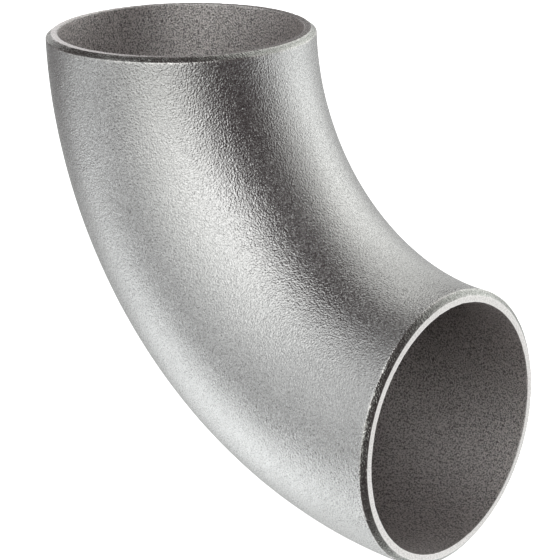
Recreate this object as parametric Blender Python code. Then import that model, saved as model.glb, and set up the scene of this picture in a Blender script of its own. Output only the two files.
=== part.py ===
"""A long-radius 90 degree butt-weld pipe elbow, size 2 inch (DN 50), schedule 10S.

The elbow is one piece of seamless tube, bent through a quarter circle, with both ends cut square and bevelled
for welding. The origin is the centre of the upper end's face. +Z runs out of the upper end, +X out of the
lower end, and the bend lies in the XZ plane.
"""

import math

import bmesh
import bpy
from mathutils import Matrix, Vector

MM = 0.001

# Driving dimensions.
OUTSIDE_DIAMETER = 60.33 * MM
WALL = 2.77 * MM
BEND_RADIUS = 76.2 * MM  # the centre-to-end length too, because the elbow has no straight ends
ROOT_FACE = 1.5 * MM  # the flat land left at each end, next to the bore
BEVEL_ANGLE = math.radians(37.5)  # from the end's plane

# Worked out from them.
OUTER_RADIUS = OUTSIDE_DIAMETER / 2
BORE_RADIUS = OUTER_RADIUS - WALL
LAND_RADIUS = BORE_RADIUS + ROOT_FACE
BEND_CENTRE = Vector((BEND_RADIUS, 0, 0))
QUARTER_TURN = math.pi / 2

# The facets: segments round the tube, and steps along the bend.
SEGMENTS = 72
STEPS = 24
SHARP_EDGE = math.radians(20)

# How finely the bevel's edge is found, and how close a point has to be to count as on that edge.
HALVINGS = 40
ON_EDGE = WALL / 100

# Stainless steel, shot-blasted and pickled.
STEEL_COLOUR = (0.60, 0.60, 0.585, 1.0)
STEEL_ROUGHNESS = 0.42


def clear_scene():
    """Removes whatever the scene held before."""
    for obj in list(bpy.data.objects):
        bpy.data.objects.remove(obj, do_unlink=True)


def stainless_steel():
    """The elbow's one material: bare metal, dulled by the blasting."""
    material = bpy.data.materials.new("stainless_steel")
    material.use_nodes = True
    shader = material.node_tree.nodes["Principled BSDF"]
    shader.inputs["Base Color"].default_value = STEEL_COLOUR
    shader.inputs["Metallic"].default_value = 1.0
    shader.inputs["Roughness"].default_value = STEEL_ROUGHNESS
    return material


def add_end_face(bm):
    """The upper end as a flat ring, in two bands that meet at the land's outer edge."""
    circles = []
    for radius in (BORE_RADIUS, LAND_RADIUS, OUTER_RADIUS):
        points = bmesh.ops.create_circle(bm, segments=SEGMENTS, radius=radius)["verts"]
        circles.append([edge for edge in bm.edges if edge.verts[0] in points])
    for inner, outer in zip(circles, circles[1:]):
        bmesh.ops.bridge_loops(bm, edges=inner + outer)


def bend_tube(bm):
    """Sweeps the end face through the quarter turn, which leaves a closed tube wall."""
    bmesh.ops.spin(
        bm,
        geom=bm.verts[:] + bm.edges[:] + bm.faces[:],
        cent=BEND_CENTRE,
        axis=Vector((0, 1, 0)),
        angle=-QUARTER_TURN,
        steps=STEPS,
    )


def angle_to_bevel(edge_point):
    """How far round the bend the bevel reaches from a point on the upper end's outer edge.

    The bevel is a cone about the end's axis that widens inwards from the land's edge, and the tube's surface
    leaves that axis as it bends, so the answer differs a little round the edge and is found by halving.
    """
    to_bend_axis = BEND_RADIUS - edge_point.x
    low, high = 0.0, 2 * WALL / to_bend_axis
    for _ in range(HALVINGS):
        angle = (low + high) / 2
        depth = to_bend_axis * math.sin(angle)
        cone_radius = LAND_RADIUS + depth / math.tan(BEVEL_ANGLE)
        tube_radius = math.hypot(BEND_RADIUS - to_bend_axis * math.cos(angle), edge_point.y)
        if tube_radius > cone_radius:
            low = angle
        else:
            high = angle
    return high


def cut_bevels(bm):
    """Moves each end's outer edge back along the bend, so that the ring outside the land is the weld bevel."""
    for vertex in bm.verts:
        for end_turn, inwards in ((0.0, -1), (QUARTER_TURN, 1)):
            from_centre = vertex.co - BEND_CENTRE
            as_upper = BEND_CENTRE + Matrix.Rotation(end_turn, 3, "Y") @ from_centre
            in_end_plane = abs(as_upper.z) < ON_EDGE
            at_outside = abs(as_upper.xy.length - OUTER_RADIUS) < ON_EDGE
            if in_end_plane and at_outside:
                slide = Matrix.Rotation(inwards * angle_to_bevel(as_upper), 3, "Y")
                vertex.co = BEND_CENTRE + slide @ from_centre


def elbow_body():
    """The whole elbow: a bent tube wall with a land and a weld bevel at each end."""
    bm = bmesh.new()
    add_end_face(bm)
    bend_tube(bm)
    cut_bevels(bm)
    bmesh.ops.recalc_face_normals(bm, faces=bm.faces)
    mesh = bpy.data.meshes.new("elbow_body")
    bm.to_mesh(mesh)
    bm.free()
    mesh.shade_smooth()
    mesh.set_sharp_from_angle(angle=SHARP_EDGE)
    mesh.materials.append(stainless_steel())
    bpy.context.collection.objects.link(bpy.data.objects.new("elbow_body", mesh))


clear_scene()
elbow_body()
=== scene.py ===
"""The looks of the pipe elbow: the bent tube as one fine mesh, its blasted and machined steel, and a small
studio."""

import math

import bmesh
import bpy
from mathutils import Matrix, Vector, noise


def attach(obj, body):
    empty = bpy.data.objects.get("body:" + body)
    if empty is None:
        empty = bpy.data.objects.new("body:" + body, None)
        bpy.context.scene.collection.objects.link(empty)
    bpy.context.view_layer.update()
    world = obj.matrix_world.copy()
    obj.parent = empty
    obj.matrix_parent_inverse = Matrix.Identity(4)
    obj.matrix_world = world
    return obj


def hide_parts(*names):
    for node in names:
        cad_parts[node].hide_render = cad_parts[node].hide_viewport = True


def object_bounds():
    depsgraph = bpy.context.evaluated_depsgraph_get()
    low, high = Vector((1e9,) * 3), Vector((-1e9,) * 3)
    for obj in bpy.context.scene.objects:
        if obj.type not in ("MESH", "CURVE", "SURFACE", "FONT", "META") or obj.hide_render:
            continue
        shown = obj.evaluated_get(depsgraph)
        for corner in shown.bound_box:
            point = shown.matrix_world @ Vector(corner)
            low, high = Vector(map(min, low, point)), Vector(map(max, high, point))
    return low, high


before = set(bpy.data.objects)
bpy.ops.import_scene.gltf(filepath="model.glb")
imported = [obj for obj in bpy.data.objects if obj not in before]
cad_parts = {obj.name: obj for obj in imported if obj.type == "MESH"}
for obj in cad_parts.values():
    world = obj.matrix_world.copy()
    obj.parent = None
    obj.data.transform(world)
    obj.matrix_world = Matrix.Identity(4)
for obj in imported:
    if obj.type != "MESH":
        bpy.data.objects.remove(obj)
cad_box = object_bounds()

MM = 0.001

# The tube: its upper end is at the origin facing +Z, its bend centre is on +X, and its lower end faces +X.
OUTER_RADIUS = cad_box[1].y
BEND_RADIUS = cad_box[1].x
WALL = 2.77 * MM
ROOT_FACE = 1.5 * MM
BEVEL_ANGLE = math.radians(37.5)
BORE_RADIUS = OUTER_RADIUS - WALL
LAND_RADIUS = BORE_RADIUS + ROOT_FACE
BEVEL_DEPTH = (OUTER_RADIUS - LAND_RADIUS) * math.tan(BEVEL_ANGLE)
QUARTER_TURN = math.pi / 2

# The mesh: points round the tube, and rings along it.
POINTS_ROUND = 400
SKIN_RINGS = 96
BORE_RINGS = 60
END_MARGIN = 0.9 * MM          # beyond the bevel and the bore's edge, the rings spread out evenly
RING_GAP = 0.28 * MM           # the widest gap between rings on the bevel and the land
ARC_STEPS = 4

# How far each corner of the wall's end is rounded by blasting.
BEVEL_EDGE_ROUND = 0.22 * MM
LAND_EDGE_ROUND = 0.09 * MM
BORE_EDGE_ROUND = 0.14 * MM

# The forged surface's unevenness, pressed into the metal only, and the nicks on its edges.
SWELL_LENGTH = 9.0 * MM
SWELL_DEPTH = 0.05 * MM
NICK_LENGTH = 1.1 * MM
NICK_DEPTH = 0.12 * MM
EDGE_REACH = 0.3 * MM

# Painted shade in the bore: how far from either end its darkening of the colour takes to set in towards the
# middle of the bend.
PAINTED_SHADE_LENGTH = 45 * MM

# The zones of the surface, from the outside in. Each has a material of its own.
SKIN, BEVEL, LAND, BORE = range(4)


# ---- The shape of the bent tube ----

def ring_point(depth, fraction, radius, around):
    """A point of the ring that lies fraction of the way along the bend, from 0 at the upper end to 1 at the
    lower, between the planes that lie depth below the ends. around: the angle round the tube, from the
    inside of the bend."""
    arm = BEND_RADIUS - radius * math.cos(around)
    margin = math.asin(depth / arm)
    turn = margin + (QUARTER_TURN - 2 * margin) * fraction
    return Vector((BEND_RADIUS - arm * math.cos(turn), radius * math.sin(around), -arm * math.sin(turn)))


def rounded_corner(before, corner, after, radius):
    """The arc that rounds a corner of the wall's section."""
    back = (before - corner).normalized()
    ahead = (after - corner).normalized()
    half = back.angle(ahead) / 2
    centre = corner + (back + ahead).normalized() * radius / math.sin(half)
    start = (corner + back * radius / math.tan(half) - centre).normalized()
    stop = (corner + ahead * radius / math.tan(half) - centre).normalized()
    return [centre + start.slerp(stop, step / ARC_STEPS) * radius for step in range(ARC_STEPS + 1)]


def straight_fill(start, stop):
    """The points strictly between start and stop that keep the rings close together."""
    count = math.ceil((stop - start).length / RING_GAP)
    return [start.lerp(stop, step / count) for step in range(1, count)]


def end_section():
    """The wall's section at an end, from the skin to the bore: (depth, radius, zone) of each ring."""
    corners = [
        Vector((BEVEL_DEPTH + END_MARGIN, OUTER_RADIUS)),
        Vector((BEVEL_DEPTH, OUTER_RADIUS)),
        Vector((0, LAND_RADIUS)),
        Vector((0, BORE_RADIUS)),
        Vector((END_MARGIN, BORE_RADIUS)),
    ]
    rounds = (BEVEL_EDGE_ROUND, LAND_EDGE_ROUND, BORE_EDGE_ROUND)
    section = [(corners[0], SKIN)]
    for index, radius in enumerate(rounds):
        arc = rounded_corner(*corners[index:index + 3], radius)
        section += [(point, index) for point in straight_fill(section[-1][0], arc[0])]
        section += [(point, index + (step >= ARC_STEPS / 2)) for step, point in enumerate(arc)]
    section += [(point, BORE) for point in straight_fill(section[-1][0], corners[-1])]
    section.append((corners[-1], BORE))
    return [(point.x, point.y, zone) for point, zone in section]


def all_rings():
    """(depth, fraction, radius, zone) of each ring, once round the wall's closed section."""
    section = end_section()
    skin_depth = section[0][0]
    bore_depth = section[-1][0]
    inner = section[1:-1]
    rings = [(skin_depth, step / SKIN_RINGS, OUTER_RADIUS, SKIN) for step in range(SKIN_RINGS + 1)]
    rings += [(depth, 1, radius, zone) for depth, radius, zone in inner]
    rings += [(bore_depth, 1 - step / BORE_RINGS, BORE_RADIUS, BORE) for step in range(BORE_RINGS + 1)]
    rings += [(depth, 0, radius, zone) for depth, radius, zone in reversed(inner)]
    return rings


def edge_nearness(depth, radius):
    """1 on the corners of the wall's end, and near 0 away from them."""
    corners = ((BEVEL_DEPTH, OUTER_RADIUS), (0, LAND_RADIUS), (0, BORE_RADIUS))
    nearest = min(math.dist((depth, radius), corner) for corner in corners)
    return math.exp(-(nearest / EDGE_REACH) ** 2)


def mouth_nearness(fraction):
    """1 at either end of the bend, falling away towards its middle. The bore's painted shade is darkest
    where this is 0.
    """
    distance = min(fraction, 1 - fraction) * QUARTER_TURN * BEND_RADIUS
    return math.exp(-distance / PAINTED_SHADE_LENGTH)


def add_points(bm, rings):
    """The points of each ring, and how far along the wall's section each ring lies."""
    angles = [2 * math.pi * step / POINTS_ROUND for step in range(POINTS_ROUND)]
    loops = []
    runs = []
    run = 0
    for depth, fraction, radius, _ in rings:
        points = [bm.verts.new(ring_point(depth, fraction, radius, angle)) for angle in angles]
        if loops:
            run += (points[0].co - loops[-1][0].co).length
        loops.append(points)
        runs.append(run)
    bm.verts.index_update()
    return loops, runs


def add_faces(bm, rings, loops, runs):
    """Joins each ring to the next, and the last to the first. The surface map runs round the tube and along
    the wall's section, in millimetres."""
    uv = bm.loops.layers.uv.new("surface")
    gap_round = 2 * math.pi * OUTER_RADIUS / POINTS_ROUND
    for index, run in enumerate(runs):
        after = (index + 1) % len(rings)
        run_after = runs[after] if after else run + RING_GAP
        for step in range(POINTS_ROUND):
            side = (step + 1) % POINTS_ROUND
            corners = (loops[index][step], loops[after][step], loops[after][side], loops[index][side])
            face = bm.faces.new(corners)
            face.material_index = min(rings[index][3], rings[after][3])
            places = ((step, run), (step, run_after), (step + 1, run_after), (step + 1, run))
            for loop, (u, v) in zip(face.loops, places):
                loop[uv].uv = (u * gap_round / MM, v / MM)


def press_in(bm, nearness):
    """Moves each point into the metal, by the forged unevenness and, on the edges, by small nicks."""
    bm.normal_update()
    for vert in bm.verts:
        swell = 0.5 + 0.5 * noise.noise(vert.co / SWELL_LENGTH)
        nick = max(0, noise.noise(vert.co / NICK_LENGTH)) * nearness[vert.index]
        vert.co -= vert.normal * (SWELL_DEPTH * swell + NICK_DEPTH * nick)


def for_every_point(ring_values):
    """Repeats each ring's value for all of its points."""
    return [value for value in ring_values for _ in range(POINTS_ROUND)]


def add_elbow(materials):
    rings = all_rings()
    nearness = for_every_point([edge_nearness(depth, radius) for depth, _, radius, _ in rings])
    near_mouth = for_every_point([mouth_nearness(fraction) for _, fraction, _, _ in rings])
    bm = bmesh.new()
    loops, runs = add_points(bm, rings)
    add_faces(bm, rings, loops, runs)
    press_in(bm, nearness)
    bmesh.ops.recalc_face_normals(bm, faces=bm.faces)
    mesh = bpy.data.meshes.new("elbow")
    bm.to_mesh(mesh)
    bm.free()
    mesh.shade_smooth()
    mesh.attributes.new("edge", "FLOAT", "POINT").data.foreach_set("value", nearness)
    # This attribute sets the bore's painted shade, darker towards the middle of the bend.
    mesh.attributes.new("mouth_nearness", "FLOAT", "POINT").data.foreach_set("value", near_mouth)
    for material in materials:
        mesh.materials.append(material)
    elbow = bpy.data.objects.new("elbow", mesh)
    bpy.context.collection.objects.link(elbow)
    return elbow


# ---- The steel ----

# The blast's grain, the flecks that darken its pits, and the slow change of tone from place to place.
GRAIN_LENGTH = 0.36 * MM
FLECK_LENGTH = 0.34 * MM
FLECK_FINENESS = 0.7
PIT_RANGE = (0.35, 0.57)         # a fleck's values at which a pit is darkest, and at which it ends
ROUGHNESS_SPREAD = 0.03
CLOUD_LENGTH = 14.0 * MM
CLOUD_SHADE = 0.95

# The corners, rubbed bright in patches.
RUB_LENGTH = 2.0 * MM
RUBBED_COLOUR = (0.85, 0.83, 0.82)

# The facing tool's grooves. A wave texture of scale 1 repeats once in each WAVE_PERIOD.
GROOVE_PITCH_MM = 0.2
GROOVE_WANDER = 1.2
WAVE_PERIOD = 0.314
QUARTER_ROTATION = 0.25          # turns the stretched gloss from along the grooves to across them

# Where each noise is sampled, so that no two of them share a pattern.
FLECK_OFFSET = (1, 2, 3)
RUB_OFFSET = (3, 1, 2)

# The values between which most of a noise lies.
NOISE_LOW = 0.3
NOISE_HIGH = 0.7


def add_node(tree, kind, **settings):
    made = tree.nodes.new(kind)
    for name, value in settings.items():
        setattr(made, name, value)
    return made


def noise_of(tree, wavelength, detail=1.0, roughness=0.5, offset=(0, 0, 0)):
    """A noise texture in the object's own space, whose features repeat about once per wavelength."""
    place = add_node(tree, "ShaderNodeTexCoord").outputs["Object"]
    shift = add_node(tree, "ShaderNodeVectorMath", operation="ADD")
    shift.inputs[1].default_value = offset
    tree.links.new(place, shift.inputs[0])
    made = add_node(tree, "ShaderNodeTexNoise")
    made.inputs["Scale"].default_value = 1 / wavelength
    made.inputs["Detail"].default_value = detail
    made.inputs["Roughness"].default_value = roughness
    tree.links.new(shift.outputs[0], made.inputs["Vector"])
    return made.outputs["Fac"]


def spread(tree, value, low, high, start=NOISE_LOW, stop=NOISE_HIGH):
    """Maps start..stop to low..high."""
    made = add_node(tree, "ShaderNodeMapRange")
    made.inputs["From Min"].default_value = start
    made.inputs["From Max"].default_value = stop
    made.inputs["To Min"].default_value = low
    made.inputs["To Max"].default_value = high
    tree.links.new(value, made.inputs["Value"])
    return made.outputs["Result"]


def colour_sockets(sockets):
    return [socket for socket in sockets if socket.type == "RGBA"]


def blend_colour(tree, factor, first, second):
    """first where factor is 0 and second where it is 1. Each is a socket or a plain colour."""
    made = add_node(tree, "ShaderNodeMix", data_type="RGBA")
    tree.links.new(factor, made.inputs["Factor"])
    for target, colour in zip(colour_sockets(made.inputs), (first, second)):
        if isinstance(colour, tuple):
            target.default_value = (*colour, 1)
        else:
            tree.links.new(colour, target)
    return colour_sockets(made.outputs)[0]


def multiply_colours(tree, first, second):
    made = add_node(tree, "ShaderNodeMix", data_type="RGBA", blend_type="MULTIPLY")
    made.inputs["Factor"].default_value = 1
    for target, colour in zip(colour_sockets(made.inputs), (first, second)):
        tree.links.new(colour, target)
    return colour_sockets(made.outputs)[0]


def multiply(tree, first, second):
    made = add_node(tree, "ShaderNodeMath", operation="MULTIPLY")
    tree.links.new(first, made.inputs[0])
    tree.links.new(second, made.inputs[1])
    return made.outputs["Value"]


def add_bump(tree, height, distance, below=None):
    made = add_node(tree, "ShaderNodeBump")
    made.inputs["Distance"].default_value = distance
    tree.links.new(height, made.inputs["Height"])
    if below is not None:
        tree.links.new(below, made.inputs["Normal"])
    return made.outputs["Normal"]


def attribute_of(tree, name):
    return add_node(tree, "ShaderNodeAttribute", attribute_name=name).outputs["Fac"]


def rubbed_edges(tree):
    """1 where handling has rubbed the corners bright, in patches along them, and 0 away from them."""
    patches = spread(tree, noise_of(tree, RUB_LENGTH, detail=2, offset=RUB_OFFSET), 0, 1)
    return multiply(tree, attribute_of(tree, "edge"), patches)


def turned_grooves(tree):
    """The height of the fine grooves that the facing tool leaves round the tube."""
    place = add_node(tree, "ShaderNodeUVMap", uv_map="surface")
    wave = add_node(tree, "ShaderNodeTexWave", bands_direction="Y")
    wave.inputs["Scale"].default_value = WAVE_PERIOD / GROOVE_PITCH_MM
    wave.inputs["Distortion"].default_value = GROOVE_WANDER
    wave.inputs["Detail"].default_value = 1
    tree.links.new(place.outputs["UV"], wave.inputs["Vector"])
    return wave.outputs["Fac"]


def blasted_colour(tree, colour, fleck, pit_shade, painted_deep_shade):
    """The metal's colour with its slow changes of tone, its dark pits and its bright corners, and, in the
    bore, painted shade that darkens it towards the middle of the bend.
    """
    dull = tuple(channel * CLOUD_SHADE for channel in colour)
    tone = blend_colour(tree, spread(tree, noise_of(tree, CLOUD_LENGTH, detail=3), 0, 1), dull, colour)
    pits = blend_colour(tree, spread(tree, fleck, 0, 1, *PIT_RANGE), (pit_shade,) * 3, (1, 1, 1))
    pitted = multiply_colours(tree, tone, pits)
    # Painted shade: the colour is darkened towards the middle of the bend.
    if painted_deep_shade < 1:
        shade = blend_colour(tree, attribute_of(tree, "mouth_nearness"), (painted_deep_shade,) * 3, (1, 1, 1))
        pitted = multiply_colours(tree, pitted, shade)
    return blend_colour(tree, rubbed_edges(tree), pitted, RUBBED_COLOUR)


def turn_gloss(tree, shader, stretch):
    """Stretches the reflections across the grooves, as turned metal does."""
    tangent = add_node(tree, "ShaderNodeTangent", direction_type="UV_MAP", uv_map="surface")
    tree.links.new(tangent.outputs["Tangent"], shader.inputs["Tangent"])
    shader.inputs["Anisotropic"].default_value = stretch
    shader.inputs["Anisotropic Rotation"].default_value = QUARTER_ROTATION


def steel(name, colour, pit_shade, roughness, grain, groove=0, stretch=0, painted_deep_shade=1):
    """Steel with the blast's grain. pit_shade: how dark the pits are beside the metal round them.
    grain and groove: the heights of the relief. stretch: how far turning stretches the gloss across its
    grooves. Last, the painted shade: how dark the colour is made in the middle of the bend beside the ends."""
    material = bpy.data.materials.new(name)
    material.use_nodes = True
    tree = material.node_tree
    shader = tree.nodes["Principled BSDF"]
    shader.inputs["Metallic"].default_value = 1
    fleck = noise_of(tree, FLECK_LENGTH, roughness=FLECK_FINENESS, offset=FLECK_OFFSET)
    tree.links.new(blasted_colour(tree, colour, fleck, pit_shade, painted_deep_shade), shader.inputs["Base Color"])
    uneven = spread(tree, fleck, roughness - ROUGHNESS_SPREAD, roughness + ROUGHNESS_SPREAD)
    tree.links.new(uneven, shader.inputs["Roughness"])
    relief = None
    if groove:
        relief = add_bump(tree, turned_grooves(tree), groove)
        turn_gloss(tree, shader, stretch)
    relief = add_bump(tree, noise_of(tree, GRAIN_LENGTH), grain, relief)
    tree.links.new(relief, shader.inputs["Normal"])
    return material


# In the order of the zones.
materials = [
    steel("blasted_skin", (0.718, 0.716, 0.72), 0.68, 0.27, 0.142 * MM),
    steel("turned_bevel", (0.60, 0.612, 0.59), 0.5, 0.24, 0.12 * MM, 0.002 * MM),
    steel("turned_land", (0.85, 0.82, 0.81), 0.8, 0.25, 0.02 * MM, 0.002 * MM, stretch=0.6),
    # The bore's colour is darkened towards the middle of the bend: painted shade.
    # The bore's steel colour is set far brighter than the skin's, up to white: painted light on its dim
    # inside.
    steel("blasted_bore", (1.0, 0.955, 0.95), 0.26, 0.5, 0.15 * MM, painted_deep_shade=0.62),
]
elbow = add_elbow(materials)
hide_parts("elbow_body")
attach(elbow, "root")


# ---- The camera ----

CAMERA_AZIMUTH = math.radians(41.47)
CAMERA_ELEVATION = 18.94
CAMERA_ROLL = math.radians(-0.94)
CAMERA_DISTANCE = 457.7 * MM
CAMERA_ASIDE = 21.96 * MM
CAMERA_BELOW = 55.99 * MM
LENS = 132.3
NEAREST_SEEN = 10 * MM

UP = Vector((0, 0, 1))
FRONT = Vector((math.sin(CAMERA_AZIMUTH), -math.cos(CAMERA_AZIMUTH), 0))
SIDE = UP.cross(FRONT)


def direction(azimuth, elevation):
    """Both in degrees. azimuth: to the camera's right, from the camera's own side of the object."""
    a = math.radians(azimuth)
    e = math.radians(elevation)
    return math.cos(e) * (math.cos(a) * FRONT + math.sin(a) * SIDE) + math.sin(e) * UP


def place_facing(obj, position, axis, roll=0):
    """Puts obj at position with its own +Z along axis, and gives the directions of its own +X and +Y."""
    across = UP.cross(axis).normalized()
    upward = axis.cross(across)
    turned_across = math.cos(roll) * across + math.sin(roll) * upward
    turned_upward = math.cos(roll) * upward - math.sin(roll) * across
    turned = Matrix((turned_across, turned_upward, axis)).transposed().to_4x4()
    obj.matrix_world = Matrix.Translation(position) @ turned
    return turned_across, turned_upward


def add_camera():
    camera = bpy.data.objects.new("camera", bpy.data.cameras.new("camera"))
    bpy.context.collection.objects.link(camera)
    camera.data.lens = LENS
    camera.data.clip_start = NEAREST_SEEN
    towards = direction(0, CAMERA_ELEVATION)
    across, upward = place_facing(camera, Vector(), towards, CAMERA_ROLL)
    camera.location = across * CAMERA_ASIDE - upward * CAMERA_BELOW + towards * CAMERA_DISTANCE
    return camera


bpy.context.scene.camera = add_camera()


# ---- The studio ----

MIDDLE = (cad_box[0] + cad_box[1]) / 2
PANEL_DISTANCE = 1.2

# The panels' tints.
NEUTRAL = (1, 1, 1)
COOL = (0.97, 1, 0.99)
WARM = (0.98, 1, 0.96)


def add_panel(name, azimuth, elevation, half_wide, half_high, strength, tint):
    """A softbox that fills a rectangle of directions seen from the object, all in degrees. strength: how
    bright it looks, where 1 is white."""
    light = bpy.data.lights.new(name, "AREA")
    light.shape = "RECTANGLE"
    light.size = 2 * PANEL_DISTANCE * math.tan(math.radians(half_wide))
    light.size_y = 2 * PANEL_DISTANCE * math.tan(math.radians(half_high))
    light.color = tint
    light.energy = strength * light.size * light.size_y * math.pi
    panel = bpy.data.objects.new(name, light)
    bpy.context.collection.objects.link(panel)
    axis = direction(azimuth, elevation)
    place_facing(panel, MIDDLE + axis * PANEL_DISTANCE, axis)
    panel.visible_camera = False


add_panel("key", -4, 34, 16, 23, 0.76, NEUTRAL)
add_panel("wide_key", -18, 15, 27, 41, 0.91, WARM)
add_panel("left", -66, 26, 26, 40, 0.63, COOL)
add_panel("left_side", -100, 10, 12, 20, 0.41, COOL)
add_panel("low_left", -101, -35, 22, 18, 1.25, COOL)
add_panel("left_back", -125, -10, 15, 15, 0.14, NEUTRAL)
add_panel("left_rear", -160, 15, 14, 12, 0.7, NEUTRAL)
add_panel("right_rear", 110, 20, 30, 24, 0.57, WARM)
add_panel("high_rear", 145, 39, 23, 28, 0.77, WARM)
add_panel("high_back", 185, 50, 12, 18, 0.45, WARM)

ROOM = (0.053, 0.041, 0.042)
SWEEP = (0.97, 0.988, 0.975)
WHITE = (1, 1, 1)

# The sweep fills a round patch of directions below the object and behind it.
SWEEP_AXIS = direction(144, -46)
SWEEP_REACH = math.radians(64)
SWEEP_SOFTNESS = math.radians(10)

# Behind the object, near its own level, part of the sweep is in shade.
SHADE_AXIS = direction(181, 6)
SHADE_REACH = math.radians(50)
SHADE_SOFTNESS = math.radians(4)
SHADE_LEVEL = 0.49

# Low in front of it the sweep is almost dark.
FRONT_AXIS = direction(45, -58)
FRONT_REACH = math.radians(26)
FRONT_SOFTNESS = math.radians(5)
FRONT_LEVEL = 0.13


def fade_from(tree, sight, axis, reach, softness, inside, outside):
    """inside within reach of the axis, and outside beyond it, with a soft edge."""
    facing = add_node(tree, "ShaderNodeVectorMath", operation="DOT_PRODUCT")
    facing.inputs[1].default_value = axis
    tree.links.new(sight, facing.inputs[0])
    angle = add_node(tree, "ShaderNodeMath", operation="ARCCOSINE")
    tree.links.new(facing.outputs["Value"], angle.inputs[0])
    fade = add_node(tree, "ShaderNodeMapRange", interpolation_type="SMOOTHSTEP")
    fade.inputs["From Min"].default_value = reach - softness
    fade.inputs["From Max"].default_value = reach + softness
    fade.inputs["To Min"].default_value = inside
    fade.inputs["To Max"].default_value = outside
    tree.links.new(angle.outputs["Value"], fade.inputs["Value"])
    return fade.outputs["Result"]


def make_world():
    """A dim room with a white sweep under and behind the object, partly shaded. The camera itself sees plain
    white."""
    world = bpy.data.worlds.new("studio")
    bpy.context.scene.world = world
    world.use_nodes = True
    tree = world.node_tree
    place = add_node(tree, "ShaderNodeTexCoord").outputs["Generated"]
    unit = add_node(tree, "ShaderNodeVectorMath", operation="NORMALIZE")
    tree.links.new(place, unit.inputs[0])
    sight = unit.outputs[0]
    sweep = fade_from(tree, sight, SWEEP_AXIS, SWEEP_REACH, SWEEP_SOFTNESS, 1, 0)
    shade = fade_from(tree, sight, SHADE_AXIS, SHADE_REACH, SHADE_SOFTNESS, SHADE_LEVEL, 1)
    front = fade_from(tree, sight, FRONT_AXIS, FRONT_REACH, FRONT_SOFTNESS, FRONT_LEVEL, 1)
    lit = multiply(tree, multiply(tree, sweep, shade), front)
    room = blend_colour(tree, lit, ROOM, SWEEP)
    seen_by_camera = add_node(tree, "ShaderNodeLightPath").outputs["Is Camera Ray"]
    colour = blend_colour(tree, seen_by_camera, room, WHITE)
    tree.links.new(colour, tree.nodes["Background"].inputs["Color"])


FLOOR_HALF = 3.0
FLOOR_COLOUR = (0.9, 0.9, 0.9)
FLOOR_ROUGHNESS = 0.9
FLOOR_GLOW = 1.0


def add_floor():
    """A plain pale floor just under the object. The steel neither reflects it nor is shaded by it, because
    the world's sweep stands for it there."""
    mesh = bpy.data.meshes.new("floor")
    corners = [(x * FLOOR_HALF, y * FLOOR_HALF, 0) for x, y in ((-1, -1), (1, -1), (1, 1), (-1, 1))]
    mesh.from_pydata(corners, [], [(0, 1, 2, 3)])
    floor = bpy.data.objects.new("floor", mesh)
    floor.location.z = cad_box[0].z
    bpy.context.collection.objects.link(floor)
    paper = bpy.data.materials.new("floor_paper")
    paper.use_nodes = True
    shader = paper.node_tree.nodes["Principled BSDF"]
    shader.inputs["Base Color"].default_value = (*FLOOR_COLOUR, 1)
    shader.inputs["Roughness"].default_value = FLOOR_ROUGHNESS
    shader.inputs["Emission Color"].default_value = (*WHITE, 1)
    shader.inputs["Emission Strength"].default_value = FLOOR_GLOW
    mesh.materials.append(paper)
    floor.visible_glossy = False
    floor.visible_diffuse = False
    floor.visible_shadow = False
    return floor


make_world()
add_floor()
bpy.context.scene.view_settings.view_transform = "Standard"
